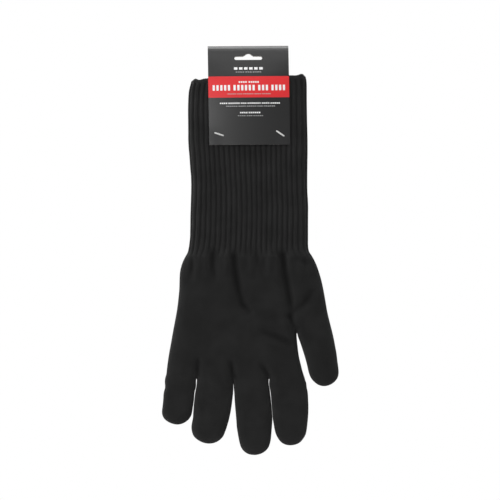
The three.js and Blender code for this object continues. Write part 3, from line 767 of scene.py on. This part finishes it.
def tube(rows, count, inset, rib_depth, name, material):
    """A tube hanging down from the mouth. rows are shares of the way from the mouth to the lower end."""
    V, K, R, H = [], [], [], []
    phase = np.arange(count) / count * N_RIB
    zb = -199.0 if rib_depth else -196.0
    each = np.random.RandomState(65).uniform(-1, 1, (2, N_RIB + 1))
    each[:, -1] = each[:, 0]
    for w in rows:
        z0 = MOUTH_Z - HEM_H + 1.5
        zc = z0 + (zb - z0) * w
        x, y, nx, ny, per = cuff_section(zc, count, inset)
        lift = (mouth(x, y) - MOUTH_Z) * (1 - smooth01(w / 0.35))
        z = zc + lift
        # the surface dips under the hand's at the lower end, and takes on its shape
        sink = 0.8 * ramp(zc, -190.0, -198.0)
        if zc < -176.0:
            base, g = np.stack([x, y, z], 1), np.stack([nx, ny, np.zeros(count)], 1)
            t = np.zeros(count)
            for _ in range(6):
                q0 = field(base + g * t[:, None], inset, bool(inset), False)
                q1 = field(base + g * (t + 0.05)[:, None], inset, bool(inset), False)
                t = np.clip(t - q0 * 0.05 / np.where(np.abs(q1 - q0) < 1e-6, 1e-6, q1 - q0), -3, 3)
            x, y = x + nx * t * ramp(zc, -177.0, -190.0), y + ny * t * ramp(zc, -177.0, -190.0)
        front = y < 0
        face = smooth01((np.abs(ny) - 0.25) / 0.6)          # 0 along the sides, so the two faces meet there
        swell = face * (0.30 * noise2(x, z * 0.5 + 300 * front, 26.0, 61) + 0.16 * noise2(x, z + 70 * front, 11.0, 62))
        ph = phase + face * (0.16 * noise2(x * 0.3 + 50 * front, z * 0.12, 6.0, 64) + 0.05 * noise2(x * 0.7 + 90 * front, z * 0.35, 3.0, 63))
        c = np.abs(2 * (ph - np.floor(ph)) - 1)
        prof = 1 - c ** 2.3
        live = 1 - ramp(zc, -182.0, -195.0)
        k = np.mod(phase, N_RIB)
        mixk = 0.5 + 0.5 * math.sin(zc * 0.05)
        vary = 0.86 + 0.20 * (mixk * np.interp(k, np.arange(N_RIB + 1), each[0]) + (1 - mixk) * np.interp(k, np.arange(N_RIB + 1), each[1]))
        disp = rib_depth * live * vary * (prof - 0.66) + swell * (1 - ramp(zc, -178, -189)) * (1 - 0.7 * ramp(zc, -98, -80)) * (1 if rib_depth else 0.5) - sink
        V.append(np.stack([x + nx * disp, y + ny * disp, z], 1))
        K.append(np.stack([ph * 4.0, -z, front * 1.0], 1))
        # first component: painted shade for the rib valleys, fading out towards the hand
        R.append(np.stack([1 - live * (1 - prof), prof, front * 1.0], 1))
        # painted shade in the folds, carried into the cuff's lower end
        H.append(np.stack([painted_fold_shade_at(V[-1]) * ramp(zc, -181.0, -190.0)] * 3, 1))
    V, K, R, H = np.concatenate(V), np.concatenate(K), np.concatenate(R), np.concatenate(H)
    n = len(rows)
    i, j = np.meshgrid(np.arange(n - 1), np.arange(count), indexing="ij")
    j2 = (j + 1) % count
    q = np.stack([i * count + j, i * count + j2, (i + 1) * count + j2, (i + 1) * count + j], -1).reshape(-1, 4)
    kc = K[q].copy()
    closing = (j == count - 1).ravel()
    kc[closing, 1, 0] += N_RIB * 4.0
    kc[closing, 2, 0] += N_RIB * 4.0
    ob = add_mesh(name, V, q, [material], None, {"painted_rib_shade": R, "painted_fold_shade": H}, corner={"knit": kc.reshape(-1, 3)})
    return ob


rows = np.linspace(0, 1, 118)
cuff = tube(rows, N_RIB * 12, 0.0, 1.45, "glove_cuff_ribs", M_CUFF)
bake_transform(cuff)
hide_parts("cuff_ribbed_knit")

lining = tube(np.linspace(0, 1, 60), 240, 2.3, 0.0, "glove_cuff_lining", M_LINER)
lining.data.flip_normals()
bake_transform(lining)
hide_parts("cuff_liner")


def hem():
    """The overlocked rim: it wraps the knit and the lining together, with threads laid slantwise over it."""
    count, prof = 1056, 22
    z0 = MOUTH_Z - HEM_H / 2
    ox, oy, nx, ny, per = cuff_section(z0, count, 0.0)
    edge = mouth(ox, oy)
    s = np.arange(count) / count * per
    V, K = [], []
    for k in range(prof):
        a = 2 * math.pi * k / prof
        # across: outwards from the middle of the wall; up: along the wall
        across = 1.78 * np.sign(math.cos(a)) * abs(math.cos(a)) ** 0.75
        up = 2.15 * np.sign(math.sin(a)) * abs(math.sin(a)) ** 0.85
        turn = a / (2 * math.pi)
        thr = np.abs(np.sin(math.pi * (s / 2.05 + 0.9 * turn + 0.25 * noise2(s, s * 0 + 3, 9.0, 81))))
        d = 0.30 * (thr ** 0.7 - 0.5) + 0.22 * noise2(s, np.full(count, 20.0 * turn), 7.0, 82)
        m = 1.52  # the wall's middle, inwards from the cuff's outer face
        off = -m + across * (1 + 0.06 * noise2(s, s * 0, 12.0, 83)) + d * math.cos(a)
        x, y = ox + nx * off, oy + ny * off
        z = edge - 2.15 + up + d * math.sin(a) + 0.25 * noise2(s, s * 0 + 7, 5.0, 84)
        V.append(np.stack([x, y, z], 1))
        K.append(np.stack([s, np.full(count, 12.0 * turn), s * 0], 1))
    V, K = np.concatenate(V), np.concatenate(K)
    i, j = np.meshgrid(np.arange(prof), np.arange(count), indexing="ij")
    i2, j2 = (i + 1) % prof, (j + 1) % count
    q = np.stack([i * count + j, i2 * count + j, i2 * count + j2, i * count + j2], -1).reshape(-1, 4)
    return V, K, q


hv, hk, hq = hem()
# outward faces: turn them over if the first ring says so
ctr = hv.reshape(22, -1, 3).mean(0)
fn = np.cross(hv[hq[:, 1]] - hv[hq[:, 0]], hv[hq[:, 3]] - hv[hq[:, 0]])
out = hv[hq].mean(1) - ctr[hq[:, 0] % 1056]
if (fn * out).sum() < 0:
    hq = hq[:, ::-1]


def thread(points, radius, sides=8):
    """A closed tube along an open run of points."""
    P = np.array(points, float)
    T = np.gradient(P, axis=0)
    T /= np.linalg.norm(T, axis=1, keepdims=True)
    up = np.array([0.0, 1.0, 0.0])
    A = np.cross(T, up)
    A /= np.maximum(np.linalg.norm(A, axis=1, keepdims=True), 1e-9)
    B = np.cross(T, A)
    ang = np.arange(sides) * 2 * math.pi / sides
    V = (P[:, None] + radius * (np.cos(ang)[None, :, None] * A[:, None] + np.sin(ang)[None, :, None] * B[:, None])).reshape(-1, 3)
    n = len(P)
    F = [(i * sides + j, i * sides + (j + 1) % sides, (i + 1) * sides + (j + 1) % sides, (i + 1) * sides + j) for i in range(n - 1) for j in range(sides)]
    F = [f[::-1] for f in F]
    F.append(tuple(range(sides)))
    F.append(tuple((n - 1) * sides + j for j in reversed(range(sides))))
    return V, F


# a loose end of the overlock thread is curled against the front, at the corner on the thumb's side
ta = np.linspace(-0.62 * math.pi, 1.45 * math.pi, 44)
loop = np.stack([50.4 + 1.75 * np.cos(ta), -5.0 - 0.55 * np.sin(np.linspace(0, math.pi, 44)) ** 0.5 - 0.5 * np.cos(ta - 0.4) * 0.3, -22.0 + 1.7 * np.sin(ta)], 1)
tv, tf = thread(loop, 0.45)
allv = np.concatenate([hv, tv])
allf = [tuple(f) for f in hq] + [tuple(i + len(hv) for i in f) for f in tf]
allk = np.concatenate([hk, tv * 1.0])
hem_ob = add_mesh("cuff_overlock_edge", allv, allf, [M_HEM], None, {"knit": allk})
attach(hem_ob, "cuff")
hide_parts("cuff_overlock_hem")

# ------------------------------------------------------------------------------------------------
# header card
# ------------------------------------------------------------------------------------------------
CARD_W, CARD_T, CARD_TILT, CARD_RISE = 76.2, 0.46, math.radians(1.0), math.radians(0.4)
HALF = [(-8.35, -86.3), (-8.05, -74.0), (-7.9, -62.0), (-7.9, -48.0), (-7.88, -36.0), (-7.65, -28.0), (-7.15, -20.5), (-6.3, -13.0), (-5.35, -6.0), (-4.3, -0.4), (-3.6, 2.4), (-3.05, 4.0), (-2.3, 5.3), (-1.2, 6.65), (0.0, 7.3)]
prof = np.array(HALF + [(-y, z) for y, z in HALF[-2::-1]])


def open_catmull(p, n):
    q = np.concatenate([[2 * p[0] - p[1]], p, [2 * p[-1] - p[-2]]])
    out = []
    for i in range(1, len(q) - 2):
        a, b, c, d = q[i - 1], q[i], q[i + 1], q[i + 2]
        for k in range(n):
            t = k / n
            out.append(0.5 * ((2 * b) + (c - a) * t + (2 * a - 5 * b + 4 * c - d) * t * t + (3 * b - a - 3 * c + d) * t ** 3))
    out.append(p[-1])
    return np.array(out)


fine = open_catmull(prof, 12)
arc = np.concatenate([[0], np.cumsum(np.hypot(*np.diff(fine, axis=0).T))])
TOP = arc[len(arc) // 2]
tang = np.gradient(fine, axis=0)
tang /= np.linalg.norm(tang, axis=1, keepdims=True)
nrm = np.stack([-tang[:, 1], tang[:, 0]], 1)  # outwards: -Y on the front panel
if nrm[0, 0] > 0:
    nrm = -nrm


def v_front(z):
    h = len(arc) // 2 + 1
    return np.interp(z, fine[:h, 1], arc[:h])


def card_point(x, v, w):
    """x across, v along the board from the front's lower edge, w outwards from the printed face."""
    y, z = np.interp(v, arc, fine[:, 0]), np.interp(v, arc, fine[:, 1])
    ny, nz = np.interp(v, arc, nrm[:, 0]), np.interp(v, arc, nrm[:, 1])
    side = np.where(v < TOP, -1.0, 1.0)
    bow = 1.5 * (1 - (x / (CARD_W / 2)) ** 2) * smooth01((np.abs(v - TOP) - 8.0) / 40.0)
    curl = 0.35 * smooth01((np.abs(x) - 24) / 14.0) * smooth01((np.abs(v - TOP) - 78) / 14.0)
    y = y + ny * w + side * (bow + curl)
    z = z + nz * w
    return np.stack([x - z * math.sin(CARD_TILT), y, x * math.sin(CARD_RISE) + z], -1)


# what is printed, in the board's own X and Z on the front panel: x0, x1, z0, z1, ink (1 red, 2 white, 3 grey)
def blocks(x0, x1, z0, z1, ink, width, gap, space, lengths):
    """A row of plain blocks in groups, standing for a line of print, fitted between x0 and x1."""
    n = sum(lengths)
    total = n * width + (n - len(lengths)) * gap + (len(lengths) - 1) * space
    k = (x1 - x0) / total
    x, out = x0, []
    for g, count in enumerate(lengths):
        for i in range(count):
            out.append((round(x, 3), round(x + width * k, 3), z0, z1, ink))
            x += (width + gap) * k
        x += (space - gap) * k
    return out


PRINT = [(-39, 39, -41.7, -21.7, 1)]
PRINT += blocks(-13.6, 13.4, -15.4, -13.1, 2, 3.2, 1.5, 1.5, [6]) + blocks(-12.0, 12.0, -17.95, -17.35, 3, 1.6, 0.5, 1.1, [4, 3, 4])
PRINT += blocks(-9.4, 9.6, -27.9, -26.4, 2, 1.25, 0.55, 1.6, [4, 5])
PRINT += blocks(-34.0, 34.2, -35.1, -29.9, 2, 2.0, 1.45, 3.1, [5, 6, 3, 4])
PRINT += blocks(-20.0, 20.4, -38.7, -37.95, 3, 1.1, 0.55, 1.2, [5, 3, 6, 4, 5])
PRINT += blocks(-27.4, 29.0, -47.75, -46.45, 2, 1.15, 0.5, 1.1, [4, 6, 3, 7, 4, 5])
PRINT += blocks(-21.6, 24.4, -50.25, -49.5, 3, 1.1, 0.55, 1.1, [6, 4, 5, 3, 6])
PRINT += blocks(-8.6, 10.4, -56.65, -55.3, 2, 1.15, 0.5, 1.1, [4, 6])
PRINT += blocks(-10.6, 13.0, -59.25, -58.6, 3, 1.1, 0.6, 1.1, [4, 3, 5])
BACK_PRINT = [(-39, 39, -41.7, -21.7, 1)] + blocks(-30.0, 22.0, -34.0, -29.8, 2, 2.3, 1.0, 2.6, [5, 7, 4])
for k in range(7):
    BACK_PRINT += blocks(-31.0, 31.0 - 12.0 * (k == 6) - 2.5 * (k % 2), -48.6 - 3.1 * k, -47.7 - 3.1 * k, 3, 1.1, 0.6, 1.3, [4 + k % 3, 5, 3 + k % 2, 6, 4, 5])


BACK_PRINT = [(-b, -a, c, d, e) for a, b, c, d, e in BACK_PRINT]


def card():
    """The flat board: x across and v along, in bands, so that each line of print has its own columns."""
    L = arc[-1]
    base_x = np.linspace(-CARD_W / 2, CARD_W / 2, 29).round(3)
    vs = set(np.concatenate([np.linspace(0, TOP - 7, 40), np.linspace(TOP - 7, TOP + 7, 33), np.linspace(TOP + 7, L, 40)]).round(3))
    marks = []
    for rows, front in ((PRINT, True), (BACK_PRINT, False)):
        for x0, x1, z0, z1, ink in rows:
            va, vb = float(v_front(z0)), float(v_front(z1))
            if not front:
                va, vb = L - vb, L - va
            marks.append((max(x0, -CARD_W / 2), min(x1, CARD_W / 2), round(va, 3), round(vb, 3), ink))
    fixed = sorted({v for m in marks for v in m[2:4]})
    vs = sorted([v for v in vs if min(abs(v - f) for f in fixed) > 0.25] + fixed)
    vs[0], vs[-1] = 0.0, L
    bands = []
    for v0, v1 in zip(vs, vs[1:]):
        vc = (v0 + v1) / 2
        here = [m for m in marks if m[2] < vc < m[3]]
        cut = sorted({x for m in here for x in m[:2] if abs(x) < CARD_W / 2 - 0.01})
        xs = [x for x in base_x if not cut or min(abs(x - c) for c in cut) > 0.3 or abs(x) > CARD_W / 2 - 0.01]
        bands.append((sorted(set(xs) | set(cut)), here))
    lines = []
    for j in range(len(vs)):
        here = set()
        for k in (j - 1, j):
            if 0 <= k < len(bands):
                here |= set(bands[k][0])
        lines.append(sorted(here))
    pts, index = [], {}
    for w in (0.0, -CARD_T):
        for j, xs in enumerate(lines):
            for x in xs:
                index[w, j, x] = len(pts)
                pts.append((x, vs[j], w))
    faces, mats = [], []
    for j, (xs, here) in enumerate(bands):
        vc = (vs[j] + vs[j + 1]) / 2
        for x0, x1 in zip(xs, xs[1:]):
            xc = (x0 + x1) / 2
            ink = 0
            for m in here:
                if m[0] < xc < m[1]:
                    ink = m[4]
            for w in (0.0, -CARD_T):
                low = [index[w, j, x] for x in lines[j] if x0 <= x <= x1]
                high = [index[w, j + 1, x] for x in lines[j + 1] if x0 <= x <= x1]
                f = low + high[::-1]
                faces.append(f if w == 0.0 else f[::-1])
                mats.append(ink if w == 0.0 else 4)
    for j, flip in ((0, False), (len(vs) - 1, True)):
        for x0, x1 in zip(lines[j], lines[j][1:]):
            f = [index[0.0, j, x0], index[-CARD_T, j, x0], index[-CARD_T, j, x1], index[0.0, j, x1]]
            faces.append(f[::-1] if flip else f)
            mats.append(4)
    for k, flip in ((0, True), (-1, False)):
        for j in range(len(vs) - 1):
            a, b = lines[j][k], lines[j + 1][k]
            f = [index[0.0, j, a], index[-CARD_T, j, a], index[-CARD_T, j + 1, b], index[0.0, j + 1, b]]
            faces.append(f[::-1] if flip else f)
            mats.append(4)
    ob = add_mesh("header_card_board", pts, faces, [M_CARD, M_RED, M_WHITE, M_GREY, M_PAPER], face_mats=mats, smooth=True)
    return ob, L


def cutter(name, ring):
    """A prism through the flat board. ring is (x, v) points."""
    n = len(ring)
    pts = [(x, v, 2.0) for x, v in ring] + [(x, v, -2.0) for x, v in ring]
    faces = [tuple(range(n)), tuple(reversed(range(n, 2 * n)))] + [(i, i + n, (i + 1) % n + n, (i + 1) % n) for i in range(n)]
    ob = add_mesh(name, pts, faces, [M_PAPER], smooth=False)
    return ob


def slot_ring():
    """The hang slot: a bar with round ends and a raised middle."""
    out = [(-11.4, -6.1), (11.4, -6.1)]
    out += [(11.4 + 1.8 * math.sin(a), -4.3 - 1.8 * math.cos(a)) for a in np.linspace(0.15, math.pi - 0.15, 9)]
    out += [(11.4, -2.5), (5.0, -2.5)]
    out += [(5.0 - 1.0 * math.sin(a), -2.5 + 1.0 * (1 - math.cos(a))) for a in np.linspace(0.3, 1.2, 4)]
    out += [(3.35 * math.cos(a), -2.45 + 2.45 * math.sin(a)) for a in np.linspace(0.42, math.pi - 0.42, 15)]
    out += [(-5.0 + 1.0 * math.sin(a), -2.5 + 1.0 * (1 - math.cos(a))) for a in np.linspace(1.2, 0.3, 4)]
    out += [(-5.0, -2.5), (-11.4, -2.5)]
    out += [(-11.4 - 1.8 * math.sin(a), -4.3 - 1.8 * math.cos(a)) for a in np.linspace(math.pi - 0.15, 0.15, 9)]
    return out


PINS = [("tag_pin_left", -27.3, -76.4, 17.7, 1), ("tag_pin_right", 30.3, -75.7, 33.7, 2)]
board, L = card()
cutters = []
for front in (True, False):
    ring = [(x, float(v_front(z)) if front else L - float(v_front(z))) for x, z in slot_ring()]
    area = sum(a[0] * b[1] - b[0] * a[1] for a, b in zip(ring, ring[1:] + ring[:1]))
    cutters.append(cutter("slot_cut", ring if area > 0 else ring[::-1]))
    for _, px, pz, _, _ in PINS:
        x0, z0 = px + pz * math.sin(CARD_TILT), pz - px * math.sin(CARD_RISE)
        v0 = float(v_front(z0)) if front else L - float(v_front(z0))
        cutters.append(cutter("pin_cut", [(x0 + 0.75 * math.cos(a), v0 + 0.75 * math.sin(a)) for a in np.linspace(0, 2 * math.pi, 17)[:-1]]))
for k in cutters:
    m = board.modifiers.new("cut", "BOOLEAN")
    m.operation, m.object, m.solver = "DIFFERENCE", k, "EXACT"
dg = bpy.context.evaluated_depsgraph_get()
cut = bpy.data.meshes.new_from_object(board.evaluated_get(dg))
board.modifiers.clear()
for k in cutters:
    bpy.data.objects.remove(k)
old = board.data
board.data = cut
co = np.array([v.co for v in cut.vertices], float) / MM
flat = np.stack([co[:, 0], co[:, 1], co[:, 1] - TOP], 1)
new = card_point(co[:, 0], co[:, 1], co[:, 2]) * MM
cut.vertices.foreach_set("co", new.astype(np.float32).ravel())
a = cut.attributes.new("flat", "FLOAT_VECTOR", "POINT")
a.data.foreach_set("vector", flat.astype(np.float32).ravel())
if len(cut.materials) < 5:
    cut.materials.clear()
    for m in (M_CARD, M_RED, M_WHITE, M_GREY, M_PAPER):
        cut.materials.append(m)
cut.update()
bpy.context.view_layer.objects.active = board
board.select_set(True)
bpy.ops.object.shade_smooth_by_angle(angle=math.radians(35))
board.select_set(False)
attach(board, "cuff")
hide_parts("header_card")

# ------------------------------------------------------------------------------------------------
# tag pins
# ------------------------------------------------------------------------------------------------
def lathe(path, radii, sides, squash=None):
    """Rings along a path of points; radii one per point. Ends are closed with flat caps."""
    P = np.array(path, float)
    T = np.gradient(P, axis=0)
    T /= np.linalg.norm(T, axis=1, keepdims=True)
    up = np.array([0.0, 0.0, 1.0]) if abs(T[0, 2]) < 0.8 else np.array([1.0, 0, 0])
    A = np.cross(T, up)
    A /= np.linalg.norm(A, axis=1, keepdims=True)
    B = np.cross(A, T)
    ang = np.arange(sides) * 2 * math.pi / sides
    sq = squash or (1.0, 1.0)
    V = (P[:, None] + np.array(radii)[:, None, None] * (sq[0] * np.cos(ang)[None, :, None] * A[:, None] + sq[1] * np.sin(ang)[None, :, None] * B[:, None])).reshape(-1, 3)
    n = len(P)
    F = [(i * sides + j, (i + 1) * sides + j, (i + 1) * sides + (j + 1) % sides, i * sides + (j + 1) % sides) for i in range(n - 1) for j in range(sides)]
    F.append(tuple(reversed(range(sides))))
    F.append(tuple((n - 1) * sides + j for j in range(sides)))
    return V, F


def pin(name, x, z, turn, seed):
    r = math.radians(turn)
    ex, ez = np.array([math.cos(r), 0, -math.sin(r)]), np.array([math.sin(r), 0, math.cos(r)])
    V, F = [], []

    def grow(v, f):
        k = sum(len(a) for a in V)
        V.append(v)
        F.extend(tuple(i + k for i in g) for g in f)

    # bar: a slim rod with rounded ends, sprung a little towards its stem
    t = -np.cos(np.linspace(0, math.pi, 33))
    rad = 0.66 * (1 - 0.12 * t * t) * np.sqrt(np.clip(1 - ((np.abs(t) - 0.86) / 0.14).clip(0) ** 2, 0.0006, 1))
    bar = np.outer(t * 4.65, ex) + np.outer(-9.5 + 0.30 * t * t, [0, 1, 0])
    grow(*lathe(bar, rad, 16, (1.0, 1.15)))
    # stem
    ys = np.linspace(-9.3, 9.1, 30)
    flare = 0.30 + 0.16 * np.exp(-((ys + 9.3) / 0.5) ** 2) + 0.3 * np.exp(-((ys - 9.1) / 0.5) ** 2)
    sway = 0.25 * np.sin((ys + 9.3) / 18.4 * math.pi)
    stem = np.outer(ys, [0, 1, 0]) + np.outer(sway, ex)
    grow(*lathe(stem, flare, 12))
    # paddle behind
    th = np.linspace(0, 2 * math.pi, 41)[:-1]
    rings = [(0.0, 0.90), (0.12, 1.0), (0.62, 1.0), (0.80, 0.90)]
    pv = []
    for dy, k in rings:
        e = np.stack([4.0 * k * np.sign(np.cos(th)) * np.abs(np.cos(th)) ** 0.8, 2.35 * k * np.sign(np.sin(th)) * np.abs(np.sin(th)) ** 0.8], 1)
        pv.append(np.outer(e[:, 0], ex) + np.outer(e[:, 1], ez) + np.array([0, 8.98 + dy, 0]))
    pv = np.concatenate(pv)
    n = len(th)
    pf = [(i * n + j, (i + 1) * n + j, (i + 1) * n + (j + 1) % n, i * n + (j + 1) % n) for i in range(3) for j in range(n)]
    pf += [tuple(range(n)), tuple(3 * n + j for j in reversed(range(n)))]
    grow(pv, pf)
    v = np.concatenate(V) + np.array([x, 0, z])
    ob = add_mesh(name + "_nylon", v, F, [M_PIN])
    bm_fix(ob)
    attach(ob, "cuff")
    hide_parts(name)


def bm_fix(ob):
    import bmesh
    b = bmesh.new()
    b.from_mesh(ob.data)
    bmesh.ops.recalc_face_normals(b, faces=b.faces)
    b.to_mesh(ob.data)
    b.free()
    bpy.context.view_layer.objects.active = ob
    ob.select_set(True)
    bpy.ops.object.shade_smooth_by_angle(angle=math.radians(50))
    ob.select_set(False)


for p in PINS:
    pin(*p)

# ------------------------------------------------------------------------------------------------
# floor, light
# ------------------------------------------------------------------------------------------------
bpy.ops.mesh.primitive_circle_add(vertices=96, radius=0.30, fill_type="NGON", location=(0, 0, -0.52))
floor = bpy.context.object
floor.name = "floor"
fm = Nodes("floor_pale")
fm.bsdf.inputs["Base Color"].default_value = (0.86, 0.86, 0.86, 1)
fm.bsdf.inputs["Roughness"].default_value = 0.9
floor.data.materials.append(fm.mat)

world = bpy.data.worlds.new("studio")
scene.world = world
world.use_nodes = True
wt = world.node_tree
bg = wt.nodes["Background"]
bg.inputs["Color"].default_value = (1, 1, 1, 1)
bg.inputs["Strength"].default_value = 0.25
bg2 = wt.nodes.new("ShaderNodeBackground")
bg2.inputs["Color"].default_value = (1, 1, 1, 1)
bg2.inputs["Strength"].default_value = 1.0
lp = wt.nodes.new("ShaderNodeLightPath")
mx = wt.nodes.new("ShaderNodeMixShader")
wt.links.new(lp.outputs["Is Camera Ray"], mx.inputs[0])
wt.links.new(bg.outputs[0], mx.inputs[1])
wt.links.new(bg2.outputs[0], mx.inputs[2])
wt.links.new(mx.outputs[0], wt.nodes["World Output"].inputs["Surface"])


def area(name, loc, target, size, power):
    d = bpy.data.lights.new(name, "AREA")
    d.shape, d.size, d.energy = "DISK", size, power
    o = bpy.data.objects.new(name, d)
    scene.collection.objects.link(o)
    o.location = loc
    o.rotation_euler = (Vector(target) - Vector(loc)).to_track_quat("-Z", "Y").to_euler()
    return o


area("key_light", (-0.8, -1.5, 0.5), (0, 0, -0.18), 0.7, 11.5)
area("fill_light", (1.1, -1.3, -0.1), (0, 0, -0.2), 0.9, 1.2)
area("front_left", (-0.66, -2.2, -0.30), (0, 0, -0.1), 0.40, 13)
area("front_high", (0.0, -1.8, 0.90), (0, 0, 0.0), 0.5, 1.5)
area("front_steep", (0.06, -1.15, 1.15), (0, 0, 0.0), 0.45, 2.4)
area("top_light", (0.0, -0.12, 1.05), (0, 0, 0.0), 0.65, 7.5)
area("back_light", (-0.9, 1.3, 0.5), (0, 0, -0.18), 0.9, 22)
area("back_fill", (1.0, 1.2, 0.0), (0, 0, -0.2), 0.9, 9)
area("side_left", (-1.7, -0.15, 0.1), (0, 0, -0.2), 0.7, 14)
area("side_right", (1.7, 0.1, 0.1), (0, 0, -0.2), 0.7, 7)

scene.view_settings.view_transform = "Standard"
scene.view_settings.look = "None"
scene.view_settings.exposure = 0.0
scene.view_settings.gamma = 1.0
scene.render.film_transparent = False
scene.cycles.max_bounces = 6
